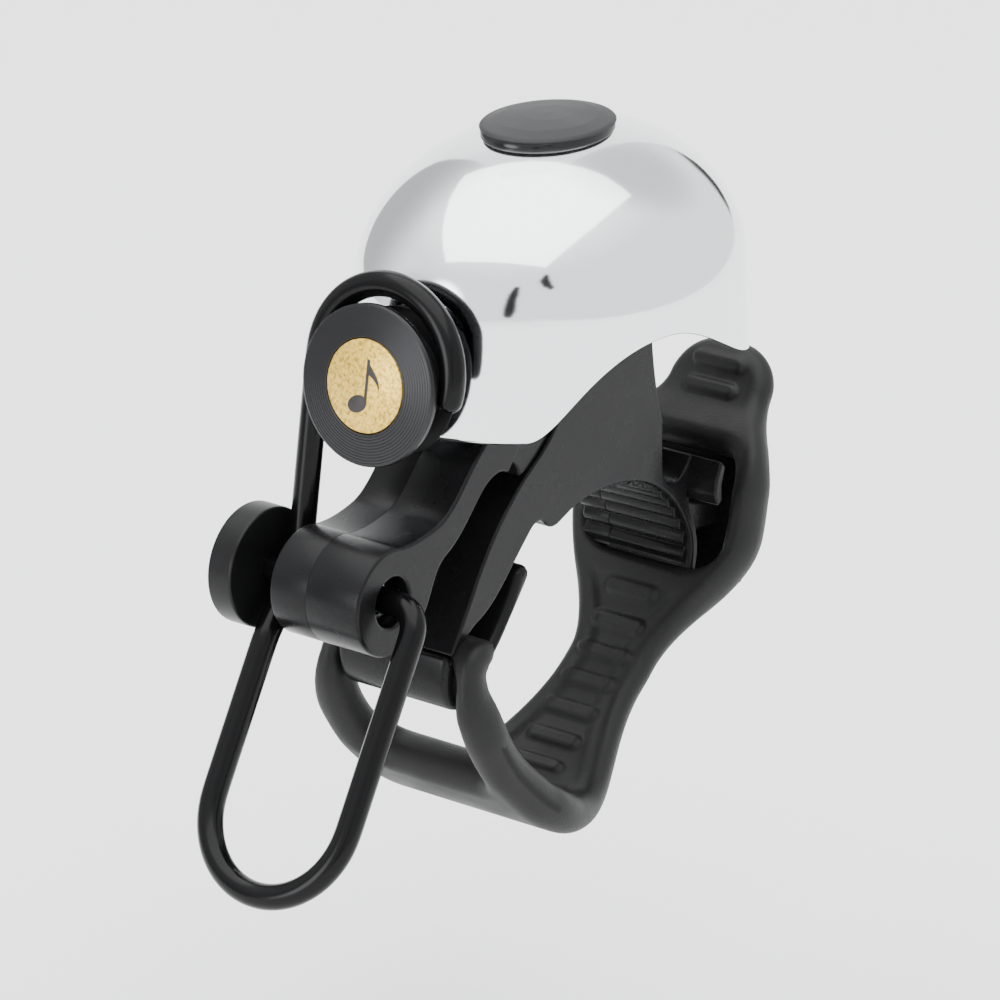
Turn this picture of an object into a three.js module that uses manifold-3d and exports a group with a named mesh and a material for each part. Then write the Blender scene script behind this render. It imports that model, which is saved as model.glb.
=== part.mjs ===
// Lever-struck bicycle bell with a rubber strap mount. Millimetres, +Z up, front of the bell towards -Y.
// The origin is the axis of the handlebar (which runs along X), at the middle of the bracket's width.
import * as THREE from 'three';
import { mergeVertices } from 'three/addons/utils/BufferGeometryUtils.js';
import Module from 'manifold-3d';

const wasm = await Module();
wasm.setup();

// ---- driving dimensions ------------------------------------------------------------------------
const GAP = 0.3;                       // air left between pieces that touch

const DOME = { halfX: 17.4, halfY: 21.8, y: -3.8, base: 25.8, shoulder: 36.4, rise: 15.4, flare: 0.4,
  fullness: 2.04, wall: 1.0, recessRadius: 4.5, recessDepth: 2.7, holeRadius: 3.0 };
const CAP = { halfX: 6.2, halfY: 7.5, y: -4.4, rim: 51.3, top: 52.7 };
const SCREW = { y: DOME.y, radius: 1.75, headRadius: 3.3, headHeight: 1.2, tip: 24.4 };

const BODY = { halfWidth: 5.4, top: 31.6, nutFloor: 26.0, nutHeight: 3.4, nutAcross: 6 };
const BARREL = { y: -35.2, z: 12.7, radius: 5.4, bore: 2.45, left: -5.4 };
const PLATE = { top: 35.2, bossRadius: 4.2, bossTop: 46.4, halfWidth: 5.0 };

const WIRE = { radius: 1.28, legX: 8.1, capEnd: -11.6 };
const LOOP = { lean: 30 * Math.PI / 180, length: 30.2, half: 8.2, x: 0.5 };   // finger loop
const ARM = { lean: 9 * Math.PI / 180, offset: 2.4, reach: 21 };      // upper leg, behind the axle
const CLAPPER = { discRadius: 7.8, discThickness: 1.4, badgeRadius: 4.5, hubRadius: 5.6, drop: 1.4 };
const CAP_DISC = { radius: 6.0, left: -12.6, right: -9.7 };

const STRAP = { thickness: 3.5, ringHalf: 11.2, bandHalf: 4.9, catchHalf: 10.6, tabHalf: 5.5,
  railInner: 7.4, windowHalf: 8.4,
  hookHalf: 9.4, hookShift: -1.4 };

// ---- solids ------------------------------------------------------------------------------------
// A closed geometry whose faces point outwards, as one solid.
function solid(geometry) {
  const g = geometry.clone();
  g.deleteAttribute('normal');
  g.deleteAttribute('uv');
  const merged = mergeVertices(g, 1e-4);
  const p = merged.attributes.position.array;
  const tri = new Uint32Array(merged.index.array);
  let volume = 0;
  for (let i = 0; i < tri.length; i += 3) {
    const [a, b, c] = [tri[i] * 3, tri[i + 1] * 3, tri[i + 2] * 3];
    volume += p[a] * (p[b + 1] * p[c + 2] - p[b + 2] * p[c + 1])
      + p[a + 1] * (p[b + 2] * p[c] - p[b] * p[c + 2])
      + p[a + 2] * (p[b] * p[c + 1] - p[b + 1] * p[c]);
  }
  if (volume < 0) {
    for (let i = 0; i < tri.length; i += 3) [tri[i + 1], tri[i + 2]] = [tri[i + 2], tri[i + 1]];
  }
  const mesh = new wasm.Mesh({ numProp: 3, vertProperties: new Float32Array(p), triVerts: tri });
  mesh.merge();
  return new wasm.Manifold(mesh);
}

// The solid back as a geometry, with normals for its material.
function surface(manifold) {
  const mesh = manifold.getMesh();
  const g = new THREE.BufferGeometry();
  g.setAttribute('position', new THREE.BufferAttribute(new Float32Array(mesh.vertProperties), 3));
  g.setIndex(new THREE.BufferAttribute(new Uint32Array(mesh.triVerts), 1));
  g.computeVertexNormals();
  return g;
}

// An outline in the side plane (y, z), extruded along X from x0 to x1.
const sideways = new THREE.Matrix4().makeBasis(
  new THREE.Vector3(0, 1, 0), new THREE.Vector3(0, 0, 1), new THREE.Vector3(1, 0, 0));
function extrudeX(shape, x0, x1, curveSegments = 8) {
  const g = new THREE.ExtrudeGeometry(shape, { depth: x1 - x0, bevelEnabled: false, curveSegments });
  return solid(g.applyMatrix4(sideways).translate(x0, 0, 0));
}

// A profile of (radius, height) turned about a vertical axis at (0, y), stretched along Y by sy.
function turnZ(profile, y, segments = 40, sy = 1) {
  const points = profile.map(([r, z]) => new THREE.Vector2(r, z));
  const g = new THREE.LatheGeometry(points, segments).rotateX(Math.PI / 2);
  return solid(g.scale(1, sy, 1).translate(0, y, 0));
}

// A profile of (radius, place along X) turned about the line (y, z) that runs along X.
function turnX(profile, y, z, segments = 40) {
  const points = profile.map(([r, x]) => new THREE.Vector2(r, x));
  const g = new THREE.LatheGeometry(points, segments).rotateZ(-Math.PI / 2);
  return solid(g.translate(0, y, z));
}

const rodZ = (radius, z0, z1, y, segments = 32) =>
  turnZ([[0, z0], [radius, z0], [radius, z1], [0, z1]], y, segments);
const rodX = (radius, x0, x1, y, z, segments = 32) =>
  turnX([[0, x0], [radius, x0], [radius, x1], [0, x1]], y, z, segments);

function block(x0, x1, y0, y1, z0, z1) {
  const g = new THREE.BoxGeometry(x1 - x0, y1 - y0, z1 - z0);
  return solid(g.translate((x0 + x1) / 2, (y0 + y1) / 2, (z0 + z1) / 2));
}

function outline(points) {
  const shape = new THREE.Shape();
  shape.moveTo(...points[0]);
  for (const point of points.slice(1)) shape.lineTo(...point);
  return shape;
}

const group = new THREE.Group();
function add(name, manifold, color, roughness, metalness = 0) {
  const geometry = manifold.isBufferGeometry ? manifold : surface(manifold);
  const material = new THREE.MeshStandardMaterial({ color, roughness, metalness });
  const mesh = new THREE.Mesh(geometry, material);
  mesh.name = name;
  group.add(mesh);
}

// ---- bell dome ---------------------------------------------------------------------------------
// Half profile of a helmet: a slightly flared skirt, then a full-bodied quarter of a superellipse.
function domeProfile(offset, steps) {
  const radius = DOME.halfX + offset;
  const rise = DOME.rise + offset;
  const points = [];
  for (let i = 0; i <= steps; i++) {
    const a = (i / steps) * Math.PI / 2;
    const r = radius * Math.cos(a) ** (2 / DOME.fullness);
    points.push([Math.max(r, 0), DOME.shoulder + rise * Math.sin(a) ** (2 / DOME.fullness)]);
  }
  return points;
}

const domeTop = DOME.shoulder + DOME.rise;
const stretch = DOME.halfY / DOME.halfX;
function domeSolid(offset, bottom, steps = 14) {
  const profile = domeProfile(offset, steps);
  const foot = profile[0][0] + DOME.flare * (DOME.shoulder - bottom) / (DOME.shoulder - DOME.base);
  return turnZ([[0, bottom], [foot, bottom], ...profile], DOME.y, 52, stretch);
}

// The side arches: the skirt is cut away over the handlebar, highest a little ahead of the middle.
const arch = new THREE.Shape();
arch.moveTo(-21.4, DOME.base - 4);
arch.lineTo(-21.4, DOME.base);
arch.bezierCurveTo(-18.9, 26.6, -16.4, 34.3, -7.6, 34.3);
arch.bezierCurveTo(-2.2, 34.3, 3.4, 28.8, 13, 26.6);
arch.lineTo(24, 26.2);
arch.lineTo(24, DOME.base - 4);

const recess = rodZ(DOME.recessRadius, domeTop - DOME.recessDepth, domeTop + 5, SCREW.y);
const recessCup = rodZ(DOME.recessRadius + DOME.wall, domeTop - DOME.recessDepth - DOME.wall,
  domeTop + 5, SCREW.y);
const dome = domeSolid(0, DOME.base)
  .subtract(domeSolid(-DOME.wall, DOME.base - 1).subtract(recessCup))
  .subtract(recess)
  .subtract(rodZ(DOME.holeRadius, 30, 60, SCREW.y))
  .subtract(extrudeX(arch, -25, 25, 10));
add('bell_dome', dome, 0xe6e8ea, 0.08, 1);

// ---- dome fastening ----------------------------------------------------------------------------
const seatUnder = domeTop - DOME.recessDepth - DOME.wall;      // underside of the recess floor
const seatOver = domeTop - DOME.recessDepth;
const grommetTop = seatUnder + DOME.wall - 0.1;
const screwRoom = SCREW.radius + GAP;
add('dome_grommet', turnZ([[screwRoom, PLATE.bossTop + GAP], [4.4, PLATE.bossTop + GAP],
  [4.4, seatUnder - GAP], [DOME.holeRadius - GAP, seatUnder - GAP],
  [DOME.holeRadius - GAP, grommetTop], [screwRoom, grommetTop], [screwRoom, PLATE.bossTop + GAP]],
SCREW.y), 0x1c1c1c, 0.9);

add('spring_washer', turnZ([[2.15, seatOver + GAP], [3.5, seatOver + GAP], [3.5, seatOver + 0.9],
  [2.15, seatOver + 0.9], [2.15, seatOver + GAP]], SCREW.y), 0xb9bcc0, 0.35, 1);

const headSeat = seatOver + 0.9 + GAP;
const headTop = headSeat + SCREW.headHeight;
const screwHead = turnZ([[0, SCREW.tip], [SCREW.radius - 0.5, SCREW.tip], [SCREW.radius, SCREW.tip + 0.6],
  [SCREW.radius, headSeat], [SCREW.headRadius, headSeat], [SCREW.headRadius, headTop - 0.6],
  [SCREW.headRadius - 0.7, headTop], [0, headTop]], SCREW.y, 32);
const driveSlot = [0, 1].map((i) => block(i ? -0.4 : -2, i ? 0.4 : 2,
  SCREW.y - (i ? 2 : 0.4), SCREW.y + (i ? 2 : 0.4), headTop - 0.9, headTop + 1));
add('dome_screw', screwHead.subtract(driveSlot[0]).subtract(driveSlot[1]), 0xb9bcc0, 0.3, 1);

const nutTop = BODY.nutFloor + BODY.nutHeight;
const nut = rodZ(BODY.nutAcross / Math.sqrt(3), BODY.nutFloor + GAP, nutTop - GAP, SCREW.y, 6)
  .subtract(rodZ(SCREW.radius + GAP, 20, 40, SCREW.y));
add('captive_nut', nut, 0xb9bcc0, 0.35, 1);

// The cap that hides the screw: a low oval button lying on the crown of the dome, with a snap plug.
const capSkin = turnZ([[0, 40], [CAP.halfX, 40], [CAP.halfX, CAP.rim], [CAP.halfX - 0.3, CAP.rim + 0.35],
  [CAP.halfX * 0.72, CAP.top - 0.45], [CAP.halfX * 0.36, CAP.top - 0.1], [0, CAP.top]],
CAP.y, 40, CAP.halfY / CAP.halfX);
const cap = capSkin.subtract(domeSolid(GAP, 20, 16))
  .add(rodZ(DOME.recessRadius - GAP, seatOver + 1.2, CAP.top - 0.5, SCREW.y))
  .subtract(rodZ(SCREW.headRadius + GAP, 40, headTop + GAP, SCREW.y));
add('dome_cap', cap, 0x1b1b1c, 0.6);

// ---- saddle: the moulding that sits on the handlebar -----------------------------------------------
// Side outline, from the front of its top down the front leg to the hook, up the back of the leg,
// along the handlebar seat to the foot of the rear leg, over the catch and up to the top.
const saddleShape = new THREE.Shape();
saddleShape.moveTo(-8.1, BODY.top);
saddleShape.lineTo(-9.0, 25.3);
saddleShape.bezierCurveTo(-9.8, 22.3, -13.2, 20.6, -15.1, 19.2);
saddleShape.bezierCurveTo(-18.4, 16.5, -20.9, 13.6, -23.4, 9.1);
saddleShape.lineTo(-26.2, 4.5);
saddleShape.lineTo(-25.2, 3.9);
saddleShape.bezierCurveTo(-24.8, 5.0, -23.8, 5.8, -22.4, 6.5);
saddleShape.bezierCurveTo(-19.2, 7.6, -17.4, 10.3, -13.8, 13.6);
saddleShape.quadraticCurveTo(-12.6, 14.7, -11.5, 13.6);
saddleShape.quadraticCurveTo(-10.6, 12.5, -9.2, 13.1);
saddleShape.lineTo(-6.9, 14.0);
saddleShape.bezierCurveTo(0.4, 15.6, 8.8, 13.4, 12.2, 5.8);
saddleShape.quadraticCurveTo(13.0, 3.8, 12.3, 1.4);
saddleShape.lineTo(13.3, 1.3);
saddleShape.quadraticCurveTo(14.2, 3.6, 13.2, 6.2);
saddleShape.quadraticCurveTo(12.1, 8.6, 11.9, 10.4);
saddleShape.quadraticCurveTo(12.0, 12.0, 13.1, 13.4);
saddleShape.lineTo(12.3, 13.9);
saddleShape.quadraticCurveTo(11.3, 12.2, 10.0, 11.8);
saddleShape.quadraticCurveTo(7.9, 11.6, 7.7, 13.8);
saddleShape.lineTo(7.6, 18.9);
saddleShape.quadraticCurveTo(5.8, 23.9, 5.5, BODY.top);

// The hook's bar is longer than the leg, so that the strap slips on from its free end; the tongue
// behind it keeps the strap in.
const hookBar = new THREE.Shape();
hookBar.moveTo(-26.9, 4.3);
hookBar.bezierCurveTo(-27.6, 2.2, -27.2, -1.5, -24.9, -1.8);
hookBar.quadraticCurveTo(-23.4, -1.9, -22.1, -0.9);
hookBar.lineTo(-23.2, 0.9);
hookBar.quadraticCurveTo(-25.2, 1.4, -25.2, 4.0);
const tongue = new THREE.Shape();
tongue.moveTo(-25.2, 0.6);
tongue.lineTo(-24.6, -1.7);
tongue.bezierCurveTo(-22.6, -2.0, -20.9, -0.2, -14.3, 6.4);
tongue.absarc(-14.9, 7.3, 0.9, -0.9, 2.2);
tongue.lineTo(-21.3, 1.6);
tongue.quadraticCurveTo(-22.6, 0.6, -24.0, 1.2);
const catchLip = outline([[12.2, 9.2], [12.9, 9.6], [12.8, 11.4], [13.4, 13.2], [12.6, 13.9],
  [11.8, 12.2], [11.5, 10.6]]);
const catchPlate = new THREE.Shape();
catchPlate.moveTo(19.2, 8.6);
catchPlate.quadraticCurveTo(19.4, 3.8, 17.6, -0.9);
catchPlate.lineTo(18.7, -1.5);
catchPlate.quadraticCurveTo(20.8, 3.4, 20.5, 8.6);
const catchStem = outline([[12.9, 4.6], [19.6, 4.2], [19.6, 6.4], [12.6, 8.6], [11.9, 9.6], [11.6, 7.4]]);

const screwHole = rodZ(SCREW.radius + GAP, SCREW.tip - 0.8, 40, SCREW.y);
const nutPocket = block(-BODY.nutAcross / 2 - 0.3, BODY.nutAcross / 2 + 0.3, SCREW.y - 3.7, 12,
  BODY.nutFloor, nutTop);
const saddle = extrudeX(saddleShape, -BODY.halfWidth, BODY.halfWidth)
  .add(extrudeX(hookBar, -8.4, BODY.halfWidth))
  .add(extrudeX(tongue, -BODY.halfWidth, 4.2))
  .add(extrudeX(catchLip, -9.0, 9.0))
  .add(extrudeX(catchStem, -4.0, 4.0))
  .add(extrudeX(catchPlate, -8.4, 8.4))
  .subtract(block(4.3, 9, 11, 15, -1, 3.4))
  .subtract(block(-9, -4.3, 11, 15, -1, 3.4))
  .subtract(screwHole)
  .subtract(nutPocket);
add('saddle_body', saddle, 0x232323, 0.5);

// ---- lever bracket: front arm with the pivot barrel, and the boss that carries the dome -------------
const armShape = new THREE.Shape();
armShape.moveTo(3.0, BODY.top + GAP);
armShape.lineTo(3.0, PLATE.top);
armShape.lineTo(-14.1, PLATE.top);
armShape.quadraticCurveTo(-19.5, 35.6, -20.3, 30.2);
armShape.lineTo(-20.8, 24.8);
armShape.bezierCurveTo(-24.1, 22.3, -25.6, 19.1, -28.4, 18.4);
armShape.quadraticCurveTo(-31.4, 17.6, -34.0, BARREL.z + BARREL.radius * 0.97);
armShape.absarc(BARREL.y, BARREL.z, BARREL.radius, Math.PI * 0.45, Math.PI * 1.72);
armShape.bezierCurveTo(-29.0, 10.3, -29.4, 13.8, -26.8, 15.0);
armShape.bezierCurveTo(-23.7, 16.5, -21.8, 20.1, -19.9, 20.7);
armShape.quadraticCurveTo(-18.4, 21.3, -17.4, 20.5);
armShape.lineTo(-15.3, 23.0);
armShape.lineTo(-13.2, BODY.top + GAP);
const bracket = extrudeX(armShape, -PLATE.halfWidth, PLATE.halfWidth, 6)
  .intersect(block(-PLATE.halfWidth, PLATE.halfWidth, -50, 10, BARREL.z - 1, 60))
  .add(rodX(BARREL.radius, BARREL.left, BODY.halfWidth, BARREL.y, BARREL.z, 40))
  .add(extrudeX(armShape, BARREL.left, BODY.halfWidth, 8)
    .intersect(block(-20, 20, -60, -14, -20, 28)))
  .add(rodZ(PLATE.bossRadius, PLATE.top - 1, PLATE.bossTop, SCREW.y))
  .subtract(rodZ(SCREW.radius + GAP, 25, 60, SCREW.y))
  .subtract(rodX(BARREL.bore, -20, 20, BARREL.y, BARREL.z, 28));
add('lever_bracket', bracket, 0x232323, 0.5);

// ---- lever wire ----------------------------------------------------------------------------------
// One bent wire: through the barrel, round the finger loop, up behind the barrel's free side and
// over the clapper's neck. The loop and the upper leg lean in two planes through the axle's line.
const down = new THREE.Vector3(0, -Math.sin(LOOP.lean), -Math.cos(LOOP.lean));
const upward = new THREE.Vector3(0, Math.sin(ARM.lean), Math.cos(ARM.lean));
const axle = new THREE.Vector3(0, BARREL.y, BARREL.z);
const armFoot = axle.clone().add(new THREE.Vector3(0, ARM.offset, 0));
const across = (x, along, distance, start = axle) => start.clone()
  .addScaledVector(along, distance).setX(x);

function arcPoints(centre, u, v, radius, from, to, steps) {
  const points = [];
  for (let i = 0; i <= steps; i++) {
    const a = from + (to - from) * i / steps;
    points.push(centre.clone().addScaledVector(u, radius * Math.cos(a))
      .addScaledVector(v, radius * Math.sin(a)));
  }
  return points;
}

const X = new THREE.Vector3(1, 0, 0);
const elbow = 2.4;                                   // bend radius where the wire leaves the barrel
const loopFoot = LOOP.length - LOOP.half;
const loopRight = LOOP.x + LOOP.half;
const loopLeft = LOOP.x - LOOP.half;
const wirePoints = [
  across(WIRE.capEnd, down, 0), across(-4, down, 0), across(3, down, 0),
  ...arcPoints(across(loopRight - elbow, down, elbow), X, down, elbow, -Math.PI / 2, 0, 4),
  across(loopRight, down, 9), across(loopRight, down, 15),
  ...arcPoints(across(LOOP.x, down, loopFoot), X, down, LOOP.half, 0, Math.PI, 12),
  across(loopLeft, down, 14), across(loopLeft, down, 7.5),
  across(-WIRE.legX + 0.1, down, 2.6, armFoot.clone().add(new THREE.Vector3(0, -0.8, 0))),
  across(-WIRE.legX, upward, 1.5, armFoot), across(-WIRE.legX, upward, 7, armFoot),
  across(-WIRE.legX, upward, 14, armFoot),
  ...arcPoints(across(0, upward, ARM.reach, armFoot), X, upward, WIRE.legX, Math.PI, -0.33, 14),
];
const wirePath = new THREE.CatmullRomCurve3(wirePoints, false, 'centripetal');
function ring(radius, sides) {
  const shape = new THREE.Shape();
  for (let i = 0; i < sides; i++) {
    const a = i / sides * 2 * Math.PI;
    if (i) shape.lineTo(radius * Math.cos(a), radius * Math.sin(a));
    else shape.moveTo(radius, 0);
  }
  return shape;
}
add('lever_wire', solid(new THREE.ExtrudeGeometry(ring(WIRE.radius, 9),
  { steps: 100, extrudePath: wirePath, bevelEnabled: false })), 0x151515, 0.35);

// Torsion spring round the axle inside the barrel.
const SPRING = { coil: 1.92, wire: 0.2, turns: 7, from: -3.6, to: 3.6 };
class Helix extends THREE.Curve {
  getPoint(t, target = new THREE.Vector3()) {
    const a = t * SPRING.turns * 2 * Math.PI;
    return target.set(SPRING.from + (SPRING.to - SPRING.from) * t,
      BARREL.y + SPRING.coil * Math.cos(a), BARREL.z + SPRING.coil * Math.sin(a));
  }
}
add('return_spring', solid(new THREE.ExtrudeGeometry(ring(SPRING.wire, 5),
  { steps: SPRING.turns * 14, extrudePath: new Helix(), bevelEnabled: false })), 0xc4c7ca, 0.3, 1);

// Round cap pressed over the axle's free end, with the push nut inside it.
const bite = WIRE.radius + GAP;
add('axle_cap', turnX([[0, CAP_DISC.left], [CAP_DISC.radius - 0.5, CAP_DISC.left],
  [CAP_DISC.radius, CAP_DISC.left + 0.5], [CAP_DISC.radius, CAP_DISC.right - 0.5],
  [CAP_DISC.radius - 0.5, CAP_DISC.right], [bite, CAP_DISC.right], [bite, CAP_DISC.right - 0.7],
  [3.9, CAP_DISC.right - 0.7], [3.9, CAP_DISC.right - 1.7], [bite, CAP_DISC.right - 1.7],
  [bite, WIRE.capEnd - GAP], [0, WIRE.capEnd - GAP]], BARREL.y, BARREL.z), 0x1b1b1b, 0.45);
add('axle_push_nut', turnX([[bite, CAP_DISC.right - 1.4], [3.5, CAP_DISC.right - 1.4],
  [3.5, CAP_DISC.right - 1.0], [bite, CAP_DISC.right - 1.0], [bite, CAP_DISC.right - 1.4]],
BARREL.y, BARREL.z), 0xc4c7ca, 0.35, 1);

// ---- clapper -------------------------------------------------------------------------------------
// Built face up about Z, then leaned so that its face looks forwards, square to the arm's plane.
const lean = new THREE.Matrix4().makeBasis(X, upward, X.clone().cross(upward));
lean.setPosition(across(0, upward, ARM.reach - CLAPPER.drop, armFoot));
function clapperPiece(profile, segments = 44) {
  const points = profile.map(([r, h]) => new THREE.Vector2(r, h));
  const g = new THREE.LatheGeometry(points, segments).rotateX(Math.PI / 2);
  return solid(g.applyMatrix4(lean));
}
const face = WIRE.radius + GAP + CLAPPER.discThickness;
const discBack = face - CLAPPER.discThickness;
const R = CLAPPER.discRadius;
const badgeSink = 0.7;
const HUB = -3.6;                                    // rear tip of the striker
add('clapper_disc', clapperPiece([[0, discBack], [R - 0.25, discBack], [R, discBack + 0.25], [R, face - 0.3],
  [R - 0.3, face], [CLAPPER.badgeRadius + GAP, face], [CLAPPER.badgeRadius + GAP, face - badgeSink],
  [0, face - badgeSink]]), 0x2b2b2c, 0.4, 0.6);
add('clapper_badge', clapperPiece([[0, face - badgeSink + GAP], [CLAPPER.badgeRadius, face - badgeSink + GAP],
  [CLAPPER.badgeRadius, face], [0, face]]), 0xe8cf90, 0.45, 0.6);
add('clapper_hub', clapperPiece([[0, HUB], [1.8, HUB], [2.8, HUB + 0.5], [3.4, -2.3], [R - 0.9, -2.3],
  [R - 0.6, -2.0], [CLAPPER.hubRadius, -WIRE.radius - 0.1], [CLAPPER.hubRadius, discBack - GAP],
  [0, discBack - GAP]]), 0x1d1d1d, 0.55);

// ---- rubber strap --------------------------------------------------------------------------------
// Middle line of the strap in the side plane, from the hook bar, under the handlebar, to the tab.
const strapLine = new THREE.SplineCurve([[-25.3, 3.2], [-25.5, -0.4], [-24.1, -4.4], [-21.5, -8.6],
  [-17.2, -13.0], [-12.3, -16.1], [-8.6, -16.9], [-5.6, -16.2], [-2.4, -14.3], [1.1, -11.7],
  [6.6, -7.5], [11.2, -2.0], [13.4, 0.8], [15.2, 3.4], [16.3, 6.6], [16.7, 9.6], [17.8, 11.8],
  [20.0, 13.4], [22.6, 15.2], [24.8, 17.9], [26.2, 21.2]].map(([y, z]) => new THREE.Vector2(y, z)));
strapLine.arcLengthDivisions = 400;
const strapLength = strapLine.getLength();

const smooth = (a, b, t) => {
  const s = Math.min(Math.max((t - a) / (b - a), 0), 1);
  return s * s * (3 - 2 * s);
};

// A box bent along the strap's line between two places (mm along it), its half width a function. The
// end that hangs in the hook sits a little to the side of the rest.
const sideShift = (s) => STRAP.hookShift * (1 - smooth(8, 26, s));
function bent(from, to, halfWidth, thickness, steps) {
  const g = new THREE.BoxGeometry(2, 1, 1, 1, steps, 1);
  const p = g.attributes.position;
  for (let i = 0; i < p.count; i++) {
    const s = from + (to - from) * (p.getY(i) + 0.5);
    const u = Math.min(Math.max(s / strapLength, 0), 1);
    const c = strapLine.getPointAt(u);
    const d = strapLine.getTangentAt(u);
    const n = p.getZ(i) * thickness;
    const over = s - u * strapLength;
    p.setXYZ(i, sideShift(s) + p.getX(i) * halfWidth(s), c.x + d.x * over + d.y * n,
      c.y + d.y * over - d.x * n);
  }
  return solid(g);
}

const half = (s) => STRAP.hookHalf + (STRAP.ringHalf - STRAP.hookHalf) * smooth(0, 8, s)
  + (STRAP.bandHalf - STRAP.ringHalf) * smooth(20, 44, s)
  + (STRAP.catchHalf - STRAP.bandHalf) * smooth(46, 62, s)
  + (STRAP.tabHalf - STRAP.catchHalf) * smooth(66, 77, s)
  - 3 * smooth(strapLength - 4.5, strapLength, s) ** 2;
const frontWindow = (s) => STRAP.railInner - 2.5 * smooth(10, 14, s);
const rearWindow = (s) => STRAP.windowHalf - 3 * (1 - smooth(57, 61, s)) - 2 * smooth(67.5, 70, s);
const railIn = STRAP.hookShift - STRAP.railInner;
const railOut = STRAP.hookShift - STRAP.hookHalf;
const strap = bent(0, strapLength, half, STRAP.thickness, 60)
  .subtract(bent(-6, 14, frontWindow, 12, 16))
  .subtract(bent(57, 70, rearWindow, 9, 12))
  .add(rodX(1.6, railOut + 0.5, -railOut + 2 * STRAP.hookShift - 0.5, -22.7, 3.9, 20))
  .add(rodX(2.1, railOut, railIn, -24.6, 3.4, 20))
  .add(rodX(2.1, 2 * STRAP.hookShift - railIn, 2 * STRAP.hookShift - railOut, -24.6, 3.4, 20));
add('rubber_strap', strap, 0x202020, 0.85);

export default group;
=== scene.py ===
# %% [markdown]
# # A bicycle bell with a lever-struck clapper
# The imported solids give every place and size. This lesson dresses them: each piece that shows is
# worked out again as a fine numpy surface with rounded edges, in the same frame, in metres, and gets
# a material made from what the real one is. +X runs along the handlebar, -Y is the clapper's side,
# +Z is up, and the origin is the handlebar's axis.

# %% Load the frame
import math
import bpy
import numpy as np
from mathutils.geometry import tessellate_polygon
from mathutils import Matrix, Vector


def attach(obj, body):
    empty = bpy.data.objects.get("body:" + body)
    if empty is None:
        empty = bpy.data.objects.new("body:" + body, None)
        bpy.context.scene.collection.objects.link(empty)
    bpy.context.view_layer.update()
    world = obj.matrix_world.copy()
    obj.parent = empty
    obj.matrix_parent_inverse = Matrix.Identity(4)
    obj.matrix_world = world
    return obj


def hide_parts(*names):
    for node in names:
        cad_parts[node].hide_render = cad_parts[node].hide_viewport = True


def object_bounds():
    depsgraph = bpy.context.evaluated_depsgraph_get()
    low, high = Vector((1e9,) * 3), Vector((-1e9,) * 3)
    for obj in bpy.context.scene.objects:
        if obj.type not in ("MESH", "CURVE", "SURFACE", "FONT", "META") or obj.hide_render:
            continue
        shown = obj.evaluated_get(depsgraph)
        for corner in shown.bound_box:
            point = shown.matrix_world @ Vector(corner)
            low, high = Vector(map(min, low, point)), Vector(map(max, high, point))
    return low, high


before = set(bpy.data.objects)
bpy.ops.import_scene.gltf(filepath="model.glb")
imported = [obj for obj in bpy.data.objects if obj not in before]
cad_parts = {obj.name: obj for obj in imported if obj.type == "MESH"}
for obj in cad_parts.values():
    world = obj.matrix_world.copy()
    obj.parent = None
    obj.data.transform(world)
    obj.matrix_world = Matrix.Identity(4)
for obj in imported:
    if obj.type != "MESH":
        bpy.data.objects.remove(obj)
MM = 0.001
start_bounds = np.array(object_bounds())
print("whole part, mm:", np.round(start_bounds / MM, 1).tolist())

# %% [markdown]
# ## Helpers
# Three ideas carry all the shapes. An outline is a list of lines and curves, softened so that no edge
# is sharper than a moulded one. A grid is a surface given by two parameters. A plate is an outline
# carried along X with its rims rolled over, as a mould's rounded edge leaves them.


# %% Colours and materials
def srgb(code, alpha=1.0):
    """sRGB hex to linear: each channel divided by 12.92, or ((c + 0.055) / 1.055) to the 2.4."""
    c = np.array([int(code[i:i + 2], 16) for i in (1, 3, 5)]) / 255
    linear = np.where(c <= 0.04045, c / 12.92, ((c + 0.055) / 1.055) ** 2.4)
    return (*linear.tolist(), alpha)


def add_node(tree, kind, settings=None, **links):
    """Adds one shader node. A setting names an attribute or an input; a link is an output socket."""
    made = tree.nodes.new(kind)
    for name, value in (settings or {}).items():
        if hasattr(made, name):
            setattr(made, name, value)
        else:
            made.inputs[name].default_value = value
    for name, output in links.items():
        tree.links.new(output, made.inputs[name.replace("_", " ")])
    return made


def new_material(name, **settings):
    """A material with one Principled shader, its constants set on the shader's own sockets."""
    material = bpy.data.materials.new(name)
    material.use_nodes = True
    tree = material.node_tree
    shader = tree.nodes["Principled BSDF"]
    for key, value in settings.items():
        shader.inputs[key.replace("_", " ")].default_value = value
    return material, tree, shader


# %% Lines, curves and softened outlines
def curve(start, *segments):
    """Bezier pieces end to end: 1 point makes a line, 2 a quadratic, 3 a cubic. Bernstein sums."""
    points = [np.array([start], float)]
    for segment in segments:
        control = np.vstack([points[-1][-1], np.array(segment, float)])
        n = len(control) - 1
        t = np.linspace(0, 1, 2 if n == 1 else 25)[1:, None]
        weights = [math.comb(n, k) * t ** k * (1 - t) ** (n - k) for k in range(n + 1)]
        points.append(sum(w * c for w, c in zip(weights, control)))
    return np.vstack(points)


def arc(centre, radius, start, end, count=40):
    """Points at a radius from a centre, between two angles in degrees."""
    a = np.radians(np.linspace(start, end, count))
    return np.array(centre) + radius * np.stack([np.cos(a), np.sin(a)], 1)


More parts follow.
